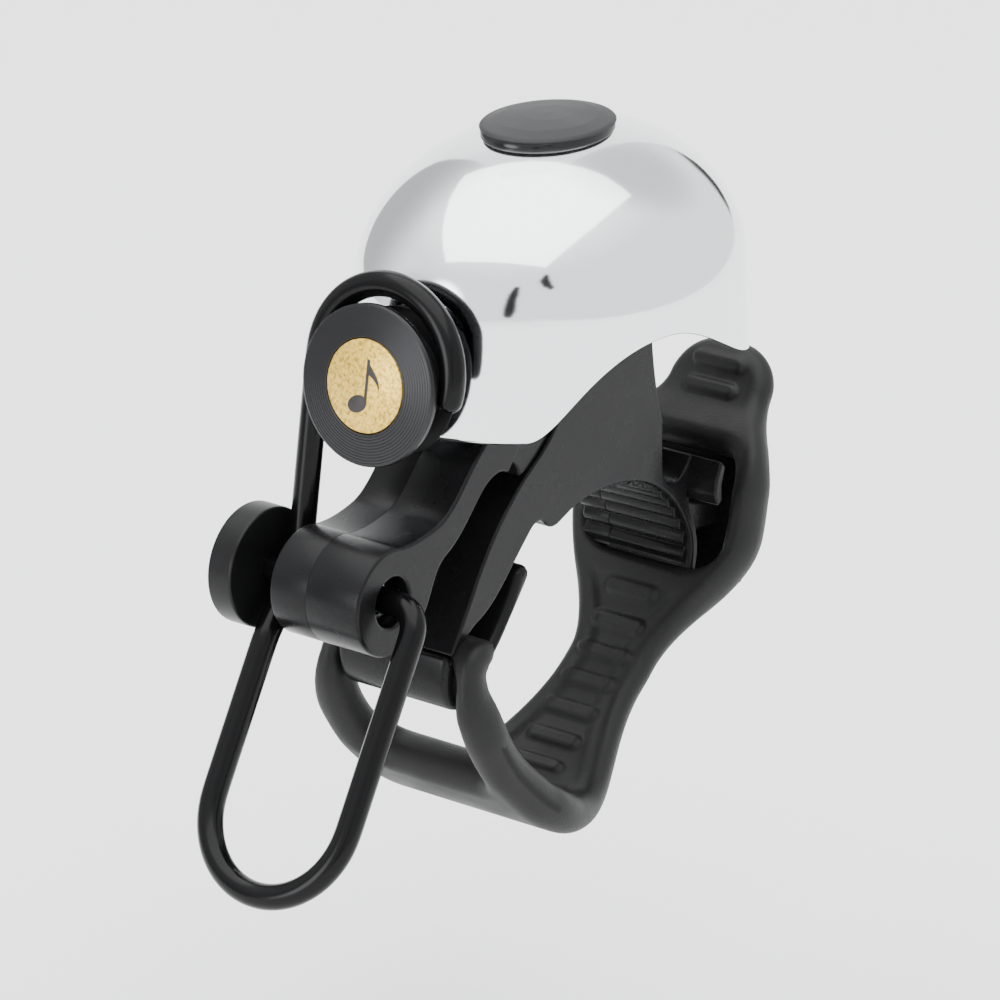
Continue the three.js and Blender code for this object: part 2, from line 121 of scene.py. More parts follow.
def soften(points, step=0.12, blur=0.2, closed=True):
    """Spaces the points evenly by arc length, then averages each with its neighbours (a Gaussian)."""
    loop = np.vstack([points, points[:1]]) if closed else points
    length = np.r_[0, np.cumsum(np.linalg.norm(np.diff(loop, axis=0), axis=1))]
    count = max(int(round(length[-1] / step)), 8)
    at = np.linspace(0, length[-1], count + 1)
    even = np.stack([np.interp(at, length, loop[:, k]) for k in range(loop.shape[1])], 1)
    reach = int(math.ceil(3 * blur / step))
    kernel = np.exp(-0.5 * (np.arange(-reach, reach + 1) * step / blur) ** 2)
    kernel /= kernel.sum()
    if closed:
        even = even[:-1]
        shifted = np.stack([np.roll(even, k, axis=0) for k in range(-reach, reach + 1)])
        return np.tensordot(kernel, shifted, 1)
    padded = np.vstack([2 * even[0] - even[reach:0:-1], even, 2 * even[-1] - even[-2:-reach - 2:-1]])
    return np.stack([np.convolve(padded[:, k], kernel, "valid") for k in range(even.shape[1])], 1)


# %% Grids, plates, turned pieces and tubes as meshes
def grid_faces(rows, columns, close_rows=False, close_columns=True, first=0):
    """Quads between neighbouring rows and columns of a grid numbered row by row."""
    r = np.arange(rows if close_rows else rows - 1)[:, None]
    c = np.arange(columns if close_columns else columns - 1)[None, :]
    r2, c2 = (r + 1) % rows, (c + 1) % columns
    quad = np.stack([r * columns + c, r * columns + c2, r2 * columns + c2, r2 * columns + c], -1)
    return quad.reshape(-1, 4) + first


class Piece:
    """Collects points in millimetres and faces, then makes one mesh object from them in metres."""

    def __init__(self, name):
        self.name, self.points, self.faces, self.flat, self.count = name, [], [], [], 0

    def add(self, points, faces, flat=False):
        self.points.append(np.asarray(points, float).reshape(-1, 3))
        self.faces += [[int(i) + self.count for i in face] for face in faces]
        self.flat += [flat] * len(faces)
        self.count += len(self.points[-1])
        return self

    def make(self, material, body, slot, replaces=()):
        points = np.vstack(self.points)
        mesh = bpy.data.meshes.new(self.name)
        mesh.from_pydata((points * MM).tolist(), [], self.faces)
        mesh.polygons.foreach_set("use_smooth", [not f for f in self.flat])
        mesh.materials.append(material)
        mesh.update()
        made = bpy.data.objects.new(self.name, mesh)
        bpy.context.scene.collection.objects.link(made)
        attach(made, body)
        if replaces:
            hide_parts(*replaces)
        size = points.max(0) - points.min(0)
        print(f"{self.name}: {len(self.faces)} faces, {np.round(size, 1).tolist()} mm")
        return made


def plate(piece, loops, x0, x1, rim=0.35, levels=5):
    """Outlines (y, z) carried from x0 to x1. At each end the outline shrinks along its normals by
    rim * (1 - cos a) while x moves by rim * sin a, so the rims are quarter rounds. First loop
    outside, the rest holes; the two faces are flat."""
    a = np.linspace(0, np.pi / 2, levels)
    rim0, rim1 = rim if isinstance(rim, tuple) else (rim, rim)
    inset = np.r_[rim0 * (1 - np.cos(a))[::-1], rim1 * (1 - np.cos(a))]
    x = np.r_[(x0 + rim0 - rim0 * np.sin(a))[::-1], x1 - rim1 + rim1 * np.sin(a)]
    caps = [[], []]
    offset = 0
    start = piece.count
    for index, loop in enumerate(loops):
        area = np.sum(loop[:, 0] * np.roll(loop[:, 1], -1) - np.roll(loop[:, 0], -1) * loop[:, 1])
        if (area > 0) != (index == 0):
            loop = loop[::-1]
        along = np.roll(loop, -1, 0) - np.roll(loop, 1, 0)
        along /= np.linalg.norm(along, axis=1)[:, None] + 1e-12
        inward = np.stack([-along[:, 1], along[:, 0]], 1)
        ring = loop[None] + inset[:, None, None] * inward[None]
        points = np.concatenate([np.broadcast_to(x[:, None, None], (*ring.shape[:2], 1)), ring], 2)
        piece.add(points, grid_faces(len(x), len(loop)))
        for end, row in ((0, 0), (1, len(x) - 1)):
            caps[end].append((ring[row], offset + row * len(loop)))
        offset += len(x) * len(loop)
    for end in (0, 1):
        flat = [[Vector((p[0], p[1], 0)) for p in ring] for ring, _ in caps[end]]
        numbers = np.concatenate([first + np.arange(len(ring)) for ring, first in caps[end]]) + start
        allp = np.concatenate([ring for ring, _ in caps[end]])
        tri = np.array(tessellate_polygon(flat))
        e1, e2 = allp[tri[:, 1]] - allp[tri[:, 0]], allp[tri[:, 2]] - allp[tri[:, 0]]
        turn = (e1[:, 0] * e2[:, 1] - e1[:, 1] * e2[:, 0]) > 0
        tri[turn != (end == 1)] = tri[turn != (end == 1)][:, ::-1]
        piece.faces += numbers[tri].tolist()
        piece.flat += [True] * len(tri)
    return piece


def turned(piece, profile, place, around=96, stretch=1.0, close=False):
    """A profile of (radius, height) turned about an axis: radius * cos and sin of the angle, then
    place(u, v, h) puts the three into the frame. Ends on the axis are closed with a small fan."""
    angle = np.linspace(0, 2 * np.pi, around, endpoint=False)
    r, h = profile[:, 0][:, None], profile[:, 1][:, None]
    points = place(r * np.cos(angle), r * np.sin(angle) * stretch, h + 0 * angle)
    rows = len(profile)
    faces = grid_faces(rows, around, close_rows=close).tolist()
    if not close:
        faces += [list(range(around))[::-1], [(rows - 1) * around + k for k in range(around)]]
    return outward(piece, points, faces)


def outward(piece, points, faces):
    """Adds a closed surface, flipped if its signed volume comes out negative."""
    p = np.asarray(points, float).reshape(-1, 3)
    volume = 0.0
    quads = np.array([f for f in faces if len(f) == 4])
    for k in (1, 2):
        tri = quads[:, [0, k, k + 1]]
        volume += np.einsum("ij,ij->", p[tri[:, 0]], np.cross(p[tri[:, 1]], p[tri[:, 2]]))
    if volume < 0:
        faces = [f[::-1] for f in faces]
    return piece.add(p, faces)


def tube(piece, path, radius, aside, around=20):
    """A round section carried along a path: each ring is square to the path's tangent, its first
    direction being aside made square to the tangent."""
    tangent = np.gradient(path, axis=0)
    tangent /= np.linalg.norm(tangent, axis=1)[:, None]
    first = aside - (tangent @ aside)[:, None] * tangent
    first /= np.linalg.norm(first, axis=1)[:, None]
    second = np.cross(tangent, first)
    angle = np.linspace(0, 2 * np.pi, around, endpoint=False)
    ring = np.cos(angle)[None, :, None] * first[:, None] + np.sin(angle)[None, :, None] * second[:, None]
    points = path[:, None] + np.asarray(radius)[:, None, None] * ring
    n = len(path)
    faces = grid_faces(n, around).tolist()
    faces += [list(range(around))[::-1], [(n - 1) * around + k for k in range(around)]]
    return outward(piece, points, faces)


# %% [markdown]
# ## Camera and studio
# A long lens from the right and a little above, as for a catalogue. The bell stands over a pale curved
# backdrop. One big overhead box and a bright room light it, because chrome shows nothing but what stands
# around it. Small dark patches take the place of the camera and stands that real chrome would show.

# %% Camera
AZIMUTH, ELEVATION, DISTANCE, LENS_WIDTHS = math.radians(38), math.radians(20.5), 600 * MM, 6.0
right = np.array([math.cos(AZIMUTH), math.sin(AZIMUTH), 0])
back = np.array([math.sin(AZIMUTH) * math.cos(ELEVATION), -math.cos(AZIMUTH) * math.cos(ELEVATION),
                 math.sin(ELEVATION)])
above = np.cross(back, right)
aim = right * -7.33 * MM + above * 10.73 * MM
lens = bpy.data.cameras.new("camera")
lens.sensor_width = 36
lens.lens = 36 * LENS_WIDTHS
lens.clip_start, lens.clip_end = 0.01, 20
camera = bpy.data.objects.new("camera", lens)
camera.location = Vector((aim + back * DISTANCE).tolist())
camera.rotation_euler = Vector(back.tolist()).to_track_quat("Z", "Y").to_euler()
bpy.context.scene.collection.objects.link(camera)
bpy.context.scene.camera = camera


# %% Backdrop, soft box and room
def backdrop():
    """A sheet in two parameters: along the camera's direction it lies flat, bends up in a quarter
    circle and stands; across, it is straight."""
    floor_z = start_bounds[0][2] - 30 * MM
    a = np.linspace(0, np.pi / 2, 24)
    reach = np.r_[-1.2, 0.5 + 0.5 * np.sin(a), 1.0]
    height = np.r_[0, 0.5 - 0.5 * np.cos(a), 2.5]
    away = -np.array([back[0], back[1], 0]) / math.hypot(back[0], back[1])
    side = np.linspace(-0.4, 0.4, 2)
    points = (reach[:, None, None] * away + side[None, :, None] * right
              + height[:, None, None] * np.array([0, 0, 1]) + np.array([0, 0, floor_z]))
    mesh = bpy.data.meshes.new("backdrop")
    mesh.from_pydata(points.reshape(-1, 3).tolist(), [],
                     grid_faces(len(reach), 2, close_columns=False).tolist())
    mesh.polygons.foreach_set("use_smooth", [True] * len(mesh.polygons))
    paper, _, _ = new_material("white_paper_backdrop", Base_Color=srgb("#f6f6f6"), Roughness=0.9)
    mesh.materials.append(paper)
    made = bpy.data.objects.new("backdrop", mesh)
    bpy.context.scene.collection.objects.link(made)


def soft_box(name, azimuth, elevation, distance, width, height, power):
    """An area light on a sphere about the bell, facing it."""
    a, e = math.radians(azimuth), math.radians(elevation)
    way = Vector((math.sin(a) * math.cos(e), -math.cos(a) * math.cos(e), math.sin(e)))
    data = bpy.data.lights.new(name, "AREA")
    data.shape, data.size, data.size_y, data.energy = "RECTANGLE", width, height, power
    light = bpy.data.objects.new(name, data)
    light.location = way * distance + Vector((0, -0.005, 0.02))
    light.rotation_euler = way.to_track_quat("Z", "Y").to_euler()
    bpy.context.scene.collection.objects.link(light)


backdrop()
soft_box("overhead_box", 20, 84, 0.8, 1.2, 1.2, 12.0)

world = bpy.data.worlds.new("room")
bpy.context.scene.world = world
world.use_nodes = True
tree = world.node_tree
room = tree.nodes["Background"]
place = add_node(tree, "ShaderNodeTexCoord")


def patch(level, azimuth, elevation, wide, narrow, brightness):
    """A round patch of the room: the level turns into another brightness where the direction lies
    within so many degrees of the patch's middle."""
    a, e = math.radians(azimuth), math.radians(elevation)
    near = add_node(tree, "ShaderNodeVectorMath", {"operation": "DOT_PRODUCT"})
    tree.links.new(place.outputs["Generated"], near.inputs[0])
    near.inputs[1].default_value = (math.sin(a) * math.cos(e), -math.cos(a) * math.cos(e), math.sin(e))
    fade = add_node(tree, "ShaderNodeMapRange", {"interpolation_type": "SMOOTHSTEP", "clamp": True,
                                                 "From Min": math.cos(math.radians(wide)),
                                                 "From Max": math.cos(math.radians(narrow))},
                    Value=near.outputs["Value"])
    mixed = add_node(tree, "ShaderNodeMix", {"data_type": "FLOAT"})
    tree.links.new(fade.outputs["Result"], mixed.inputs[0])
    if isinstance(level, float):
        mixed.inputs[2].default_value = level
    else:
        tree.links.new(level, mixed.inputs[2])
    mixed.inputs[3].default_value = brightness
    return mixed.outputs[0]


level = patch(1.85, 0, 90, 62, 18, 2.7)
level = patch(level, -112, 5, 60, 10, 0.75)
level = patch(level, -30, -8, 40, 6, 0.9)
level = patch(level, 175, 42, 30, 6, 1.2)
level = patch(level, -12, 8, 20, 8, 10.0)
for azimuth, elevation, size in ((42, 24, 1.6), (41, 21, 2.2), (40, 18, 2.6), (39, 14, 2.6), (38.5, 10, 3.0),
                                 (38, 6, 3.2), (37, 2, 2.6), (61, 31, 1.6), (60, 28, 2.4), (61, 25, 2.2),
                                 (63, 22, 1.6), (-168, -2, 4.5), (-166, 2, 5.5), (-164, 6, 5), (-160, 10, 4)):
    level = patch(level, azimuth, elevation, size * 1.7, size * 0.7, 0.02)
tree.links.new(level, room.inputs["Strength"])
room.inputs["Color"].default_value = (0.98, 0.99, 1.0, 1)
print("camera at", np.round((aim + back * DISTANCE), 3).tolist())

# %% [markdown]
# ## Finishes
# Decorative chrome is a mirror with a very faint orange peel. The saddle and bracket are black
# glass-filled nylon from a spark-eroded mould: a fine grain that takes a broad, soft shine. The lever
# is steel wire in a glossy black coat. The strap is black rubber, dull, with a dusty grain. Grain
# sizes are real ones, in millimetres, drawn a little coarse where the real one would vanish.



# %% A noise whose grains have a size in millimetres
def noise(tree, place, size, detail, roughness=0.5):
    """Noise on Object coordinates with 1 / size cells to the millimetre, so size is a grain's width."""
    settings = {"Scale": 1 / (size * MM), "Detail": detail, "Roughness": roughness}
    return add_node(tree, "ShaderNodeTexNoise", settings, Vector=place.outputs["Object"])


# %% Chrome plate: bright mirror, softened only by the plating's slight unevenness
chrome, tree, shader = new_material("chrome_plate", Base_Color=srgb("#eceef0"), Metallic=1.0,
                                    Roughness=0.06)
place = add_node(tree, "ShaderNodeTexCoord")
peel = noise(tree, place, 3.0, 2.0)
haze = noise(tree, place, 9.0, 3.0)
rough = add_node(tree, "ShaderNodeMapRange", {"To Min": 0.05, "To Max": 0.11}, Value=haze.outputs["Fac"])
bump = add_node(tree, "ShaderNodeBump", {"Strength": 0.05, "Distance": 0.2 * MM}, Height=peel.outputs["Fac"])
tree.links.new(rough.outputs["Result"], shader.inputs["Roughness"])
tree.links.new(bump.outputs["Normal"], shader.inputs["Normal"])


# %% Moulded blacks: one recipe of grain and patchy shine for nylon, the cap's plastic and rubber
def moulded(name, low, high, rough_low, rough_high, grain, depth, specular=0.5):
    """Two noises: a slow one shifts colour and roughness, a fine one of the mould's grain size is
    the bump."""
    material, tree, shader = new_material(name, Base_Color=srgb(low))
    shader.inputs["Specular IOR Level"].default_value = specular
    place = add_node(tree, "ShaderNodeTexCoord")
    slow = noise(tree, place, 6.0, 4.0)
    fine = noise(tree, place, grain, 3.0, 0.6)
    tint = add_node(tree, "ShaderNodeMix", {"data_type": "RGBA"}, Factor=slow.outputs["Fac"])
    colour_a, colour_b = 6, 7
    tint.inputs[colour_a].default_value = srgb(low)
    tint.inputs[colour_b].default_value = srgb(high)
    rough = add_node(tree, "ShaderNodeMapRange", {"From Min": 0.3, "From Max": 0.7, "To Min": rough_low,
                                                  "To Max": rough_high}, Value=slow.outputs["Fac"])
    bump = add_node(tree, "ShaderNodeBump", {"Strength": 0.5, "Distance": depth * MM},
                    Height=fine.outputs["Fac"])
    tree.links.new(tint.outputs[2], shader.inputs["Base Color"])
    tree.links.new(rough.outputs["Result"], shader.inputs["Roughness"])
    tree.links.new(bump.outputs["Normal"], shader.inputs["Normal"])
    return material


nylon = moulded("black_glass_filled_nylon", "#0c0c0d", "#141415", 0.22, 0.34, 0.22, 0.012, 0.12)
hub_nylon = moulded("black_hub_nylon", "#09090a", "#0f0f10", 0.3, 0.42, 0.2, 0.012, 0.1)
cap_matte = moulded("matte_cap_plastic", "#232324", "#2d2d2e", 0.55, 0.66, 0.28, 0.05, 0.25)
cap_gloss = moulded("gloss_cap_skirt", "#0a0a0b", "#101011", 0.12, 0.2, 0.4, 0.004, 0.3)
end_cap = moulded("black_cap_plastic", "#0b0b0c", "#121213", 0.28, 0.4, 0.2, 0.012, 0.16)
rubber = moulded("black_strap_rubber", "#101010", "#191919", 0.42, 0.58, 0.3, 0.06, 0.2)

# %% Coated wire: a thick glossy black skin with a slight ripple, so the long highlights waver a little
wire_coat, tree, shader = new_material("gloss_black_wire_coat", Base_Color=srgb("#070708"), Roughness=0.2,
                                       Specular_IOR_Level=0.14)
place = add_node(tree, "ShaderNodeTexCoord")
ripple = noise(tree, place, 1.2, 3.0)
bump = add_node(tree, "ShaderNodeBump", {"Strength": 0.12, "Distance": 0.08 * MM},
                Height=ripple.outputs["Fac"])
tree.links.new(bump.outputs["Normal"], shader.inputs["Normal"])

# %% Bright zinc plate for the hidden hardware: pale grey metal with a cloudy shine
zinc, tree, shader = new_material("bright_zinc_plate", Base_Color=srgb("#c4c8cc"), Metallic=1.0,
                                  Roughness=0.3)
place = add_node(tree, "ShaderNodeTexCoord")
cloud = noise(tree, place, 2.0, 3.0)
rough = add_node(tree, "ShaderNodeMapRange", {"To Min": 0.22, "To Max": 0.42}, Value=cloud.outputs["Fac"])
tree.links.new(rough.outputs["Result"], shader.inputs["Roughness"])

HIDDEN = ("dome_screw", "spring_washer", "captive_nut", "axle_push_nut", "return_spring", "dome_grommet")
for name in HIDDEN:
    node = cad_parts[name]
    for slot in node.material_slots:
        slot.material = rubber if name == "dome_grommet" else zinc
print("finishes:", len(bpy.data.materials))

# %% [markdown]
# ## The dome
# The shell is pressed from sheet steel, then chromed. It is a surface of two parameters: the angle
# round the bell, and the distance up its wall. The wall is a slightly flared skirt and a quarter of a
# superellipse; the lower edge follows the arch that clears the handlebar, so every column of the grid
# starts where its own wall meets the arch.

# %% Dome shell
DOME = dict(half_x=17.4, half_y=21.8, y=-3.8, base=25.8, shoulder=36.4, rise=15.4, flare=0.4,
            fullness=2.04, wall=1.0, recess=4.5, floor=49.1, hole=3.0)
arch = np.vstack([[-30, DOME["base"]],
                  curve((-21.4, DOME["base"]), [(-18.9, 26.6), (-16.4, 34.3), (-7.6, 34.3)],
                        [(-2.2, 34.3), (3.4, 28.8), (13, 26.6)], [(24, 26.2)])])


def dome_wall(inside, count=500):
    """Radius and height up the wall: the skirt flares in a straight line, then radius goes with
    cos^(2/n) and rise with sin^(2/n); inside is how far the wall is moved in."""
    radius, rise = DOME["half_x"] - inside, DOME["rise"] - inside
    z = np.linspace(DOME["base"] - 1, DOME["shoulder"], 60)[:-1]
    skirt = radius + DOME["flare"] * (DOME["shoulder"] - z) / (DOME["shoulder"] - DOME["base"])
    a = np.linspace(0, np.pi / 2, count)
    r = np.r_[skirt, radius * np.cos(a) ** (2 / DOME["fullness"])]
    z = np.r_[z, DOME["shoulder"] + rise * np.sin(a) ** (2 / DOME["fullness"])]
    keep = r >= DOME["recess"] + inside
    r, z = r[keep], z[keep]
    s = np.r_[0, np.cumsum(np.hypot(np.diff(r), np.diff(z)))]
    return s, r, z


def wall_rows(inside, rows, angle):
    """Rows of (radius, height) from the arch to the crown, one column per angle."""
    s, r, z = dome_wall(inside)
    stretch = DOME["half_y"] / DOME["half_x"]
    low = np.zeros_like(angle)
    for _ in range(30):
        y = DOME["y"] + stretch * np.interp(low, s, r) * np.sin(angle)
        low = 0.5 * low + 0.5 * np.interp(np.interp(y, arch[:, 0], arch[:, 1]), z, s)
    v = np.linspace(0, 1, rows)[:, None]
    at = low + (s[-1] - low) * v
    return np.interp(at, s, r), np.interp(at, s, z)


angle = np.linspace(0, 2 * np.pi, 300, endpoint=False)
r_out, z_out = wall_rows(0.0, 120, angle)
r_in, z_in = wall_rows(DOME["wall"], 120, angle)
edge = 0.22
r_out[0], z_out[1:3] = r_out[0] - edge, np.maximum(z_out[1:3], z_out[0] + edge * np.array([[0.5], [1.0]]))
r_in[0] = r_in[0] + edge
crown = np.array([[DOME["recess"] - 0.15, z_out[-1, 0] - 0.2], [DOME["recess"] - 0.2, DOME["floor"]],
                  [DOME["hole"], DOME["floor"]], [DOME["hole"], DOME["floor"] - DOME["wall"]],
                  [DOME["recess"] + DOME["wall"], DOME["floor"] - DOME["wall"]]])
column = np.ones(len(angle))
r_all = np.vstack([r_out, crown[:, :1] * column, r_in[::-1]])
z_all = np.vstack([z_out, crown[:, 1:] * column, z_in[::-1]])
stretch = DOME["half_y"] / DOME["half_x"]
shell_points = np.stack([r_all * np.cos(angle), DOME["y"] + stretch * r_all * np.sin(angle), z_all], -1)
shell_faces = grid_faces(len(r_all), len(angle), close_rows=True).tolist()
shell = outward(Piece("dome_shell"), shell_points, shell_faces)
shell.make(chrome, "mount", "chrome_shell", ["bell_dome"])

# %% [markdown]
# ## The cap on the crown
# A soft oval button covers the screw: a matte top and a smooth, glossy skirt that dips into the
# chrome. Each is a profile turned and stretched, because they are two finishes on one moulding.

# %% Cap
CAP = dict(half_x=6.2, half_y=7.5, y=-4.4, foot=50.0, rim=51.85, top=52.7, skirt=6.05)


def on_crown(u, v, h):
    """Across, along and up from the crown's own centre line."""
    return np.stack([u, CAP["y"] + v, h], -1)


rim = CAP["rim"]
profile = soften(np.array([[0.02, rim - 0.3], [CAP["half_x"] - 0.1, rim - 0.3], [CAP["half_x"], rim - 0.15],
                           [CAP["half_x"] - 0.25, rim + 0.12], [4.5, rim + 0.52], [2.2, rim + 0.78],
                           [0.02, CAP["top"]]]), 0.08, 0.1, closed=False)
button = turned(Piece("cap_button"), profile, on_crown, 120, CAP["half_y"] / CAP["half_x"])
button.make(cap_matte, "mount", "cap_plastic", ["dome_cap"])
profile = np.array([[0.02, CAP["foot"]], [CAP["skirt"], CAP["foot"]], [CAP["skirt"], rim - 0.25],
                    [CAP["skirt"] - 0.1, rim - 0.2], [0.02, rim - 0.2]])
turned(Piece("cap_skirt"), profile, on_crown, 120, CAP["half_y"] / CAP["half_x"]).make(
    cap_gloss, "mount", "cap_plastic")

# %% [markdown]
# ## Saddle and bracket
# Both are side outlines carried across the bell's width. The saddle's seat is ribbed so that it grips
# the bar, with a wider wing at its rear on the far side, and a web closes the top of the slot in front
# of it. The bracket ends in the barrel that the lever turns in. The sides are flat, so only the rims
# are rounded.

# %% Saddle
HALF = 5.4
SADDLE_TOP = 31.6
seat = curve((-6.9, 14.0), [(0.4, 15.6), (8.8, 13.4), (12.2, 5.8)])
side = np.vstack([
    curve((-8.1, SADDLE_TOP), [(-9.0, 25.3)], [(-9.8, 22.3), (-13.2, 20.6), (-15.1, 19.2)],
          [(-18.4, 16.5), (-20.9, 13.6), (-23.4, 9.1)], [(-26.4, 4.4)], [(-25.2, 3.7)],
          [(-24.8, 5.0), (-23.8, 5.8), (-22.4, 6.5)], [(-19.2, 7.6), (-17.4, 10.3), (-13.8, 13.6)],
          [(-12.6, 14.7), (-11.5, 13.6)], [(-10.6, 12.5), (-9.2, 13.1)], [(-6.9, 14.0)]),
    seat[1:],
    curve((12.2, 5.8), [(13.0, 3.8), (12.3, 1.4)], [(13.3, 1.3)], [(14.2, 3.6), (13.2, 6.2)],
          [(12.1, 8.6), (11.9, 10.4)], [(12.0, 12.0), (13.1, 13.4)], [(12.3, 13.9)],
          [(11.3, 12.2), (10.0, 11.8)], [(7.9, 11.6), (7.7, 13.8)], [(7.6, 18.9)],
          [(5.8, 23.9), (5.5, SADDLE_TOP)])[1:]])
hook_bar = curve((-26.9, 4.3), [(-27.6, 2.2), (-27.2, -1.5), (-24.9, -1.8)], [(-23.4, -1.9), (-22.1, -0.9)],
                 [(-23.2, 0.9)], [(-25.2, 1.4), (-25.2, 4.0)])
tongue = np.vstack([curve((-25.2, 0.6), [(-24.6, -1.7)], [(-22.6, -2.0), (-19.9, -0.2), (-13.6, 8.0)]),
                    arc((-14.2, 8.9), 1.0, -40, 130, 14),
                    curve((-15.2, 9.5), [(-17.2, 5.0), (-21.3, 1.6)], [(-22.6, 0.6), (-24.0, 1.2)])])
catch_lip = np.array([[12.2, 9.2], [12.9, 9.6], [12.8, 11.4], [13.4, 13.2], [12.6, 13.9], [11.8, 12.2],
                      [11.5, 10.6]])
catch_plate = curve((20.3, 11.3), [(19.5, 9.2), (19.3, 7.0)], [(19.2, 3.0), (17.6, -0.9)], [(18.7, -1.5)],
                    [(20.8, 3.4), (20.9, 8.6)], [(21.1, 10.2), (21.3, 11.2)])
web = np.vstack([curve((-19.4, 20.9), [(-18.6, 21.7), (-17.0, 21.5)], [(-15.6, 21.2), (-15.2, 19.4)],
                       [(-9.4, 20.6), (-7.4, 25.0)], [(-7.2, 31.3)],
                       [(-14.6, 31.3)], [(-16.8, 24.4)], [(-18.6, 22.8)])])
catch_stem = np.array([[12.9, 4.6], [19.6, 4.2], [19.6, 6.4], [12.6, 8.6], [11.9, 9.6], [11.6, 7.4]])

saddle = Piece("saddle_moulding")
plate(saddle, [soften(side, 0.12, 0.14)], -HALF, HALF, 0.3)
plate(saddle, [soften(hook_bar, 0.12, 0.25)], -8.4, HALF, 0.9)
plate(saddle, [soften(tongue, 0.12, 0.2)], -HALF, 4.9, 0.9)
plate(saddle, [soften(catch_lip, 0.1, 0.2)], -9.0, 9.0, 0.3)
plate(saddle, [soften(catch_plate, 0.1, 0.2)], -7.3, 7.3, 0.4)
plate(saddle, [soften(web, 0.12, 0.2)], -5.0, 5.0, 0.3)
plate(saddle, [soften(catch_stem, 0.1, 0.2)], -4.0, 4.0, 0.4)

lip = curve(seat[-1], [(13.0, 3.8), (12.3, 1.8)])[1:]
RIB_PITCH, RIB_HEIGHT = 1.75, 0.5
ribs_along = soften(np.vstack([seat[2:], lip]), 0.06, 0.1, closed=False)
run = np.r_[0, np.cumsum(np.linalg.norm(np.diff(ribs_along, axis=0), axis=1))]
ahead = np.gradient(ribs_along, axis=0)
ahead /= np.linalg.norm(ahead, axis=1)[:, None]
down_in = np.stack([ahead[:, 1], -ahead[:, 0]], 1)
fade_in_out = np.minimum(1, (run[-1] - run) / 1.0) * np.minimum(1, run / 1.0)
wave = np.abs(np.sin(np.pi * run / RIB_PITCH)) ** 0.7 * fade_in_out
ribbed = ribs_along + down_in * (0.05 + RIB_HEIGHT * wave[:, None])
ribs = np.vstack([ribbed, (ribs_along - down_in * 0.3)[::-1]])
plate(saddle, [ribs], -HALF + 0.75, HALF - 0.75, 0.2)
rear = ribs_along[:, 0] > 7.5
wing = np.vstack([ribbed[rear], (ribs_along - down_in * 1.3)[rear][::-1]])
plate(saddle, [wing], -8.0, -4.5, 0.25)
saddle.make(nylon, "mount", "black_nylon", ["saddle_body"])

# %% Bracket with the barrel
BARREL = dict(y=-35.2, z=12.7, radius=5.4, bore=2.45)
PLATE_TOP = 35.2
centre = (BARREL["y"], BARREL["z"])
arm = np.vstack([
    curve((3.0, SADDLE_TOP + 0.3), [(3.0, PLATE_TOP)], [(-14.1, PLATE_TOP)], [(-19.5, 35.6), (-20.3, 30.2)],
          [(-20.8, 24.8)], [(-24.1, 22.3), (-25.6, 19.1), (-28.4, 18.4)], [(-31.4, 17.6), (-34.0, 17.9)]),
    arc(centre, BARREL["radius"], 81, 310, 60),
    curve((-31.6, 9.0), [(-29.0, 10.3), (-29.4, 13.8), (-26.8, 15.0)],
          [(-23.7, 16.5), (-21.8, 20.1), (-19.9, 20.7)],
          [(-18.4, 21.3), (-17.4, 20.5)], [(-15.3, 23.0)], [(-13.2, SADDLE_TOP + 0.3)])])
bore = arc(centre, BARREL["bore"], 0, 354, 60)
bracket = Piece("lever_bracket_moulding")
plate(bracket, [soften(arm, 0.12, 0.2), bore], -HALF, -0.9, (0.35, 0.05))
plate(bracket, [soften(arm, 0.12, 0.2), bore], -0.9, HALF, (0.05, 0.35))
boss = soften(np.array([[1.75 + 0.3, 34.5], [4.2, 34.5], [4.2, 46.4], [2.05, 46.4], [2.05, 34.5]]), 0.15, 0.1)
turned(bracket, boss, lambda u, v, h: np.stack([u, DOME["y"] + v, h], -1), 64, close=True)
bracket.make(nylon, "mount", "black_nylon", ["lever_bracket"])

# %% [markdown]
# ## The lever
# One wire does everything: it is the axle, the finger loop and the arm of the clapper. Its path is
# drawn with straight runs and arcs in two leaning planes, then softened as a wire bends.

# %% Lever wire
WIRE, LOOP_LEAN, ARM_LEAN = 1.28, math.radians(30), math.radians(9)
LOOP = dict(length=30.2, half=8.2, x=0.5)
ARM = dict(offset=2.4, reach=21.0, half=8.1)
X = np.array([1.0, 0, 0])
axle = np.array([0, BARREL["y"], BARREL["z"]])
down = np.array([0, -math.sin(LOOP_LEAN), -math.cos(LOOP_LEAN)])
up = np.array([0, math.sin(ARM_LEAN), math.cos(ARM_LEAN)])
foot = axle + np.array([0, ARM["offset"], 0])


def bend(middle, u, v, radius, start, end, count=30):
    """An arc in the plane of u and v: middle + radius * (u cos a + v sin a)."""
    a = np.linspace(start, end, count)[:, None]
    return middle + radius * (u * np.cos(a) + v * np.sin(a))


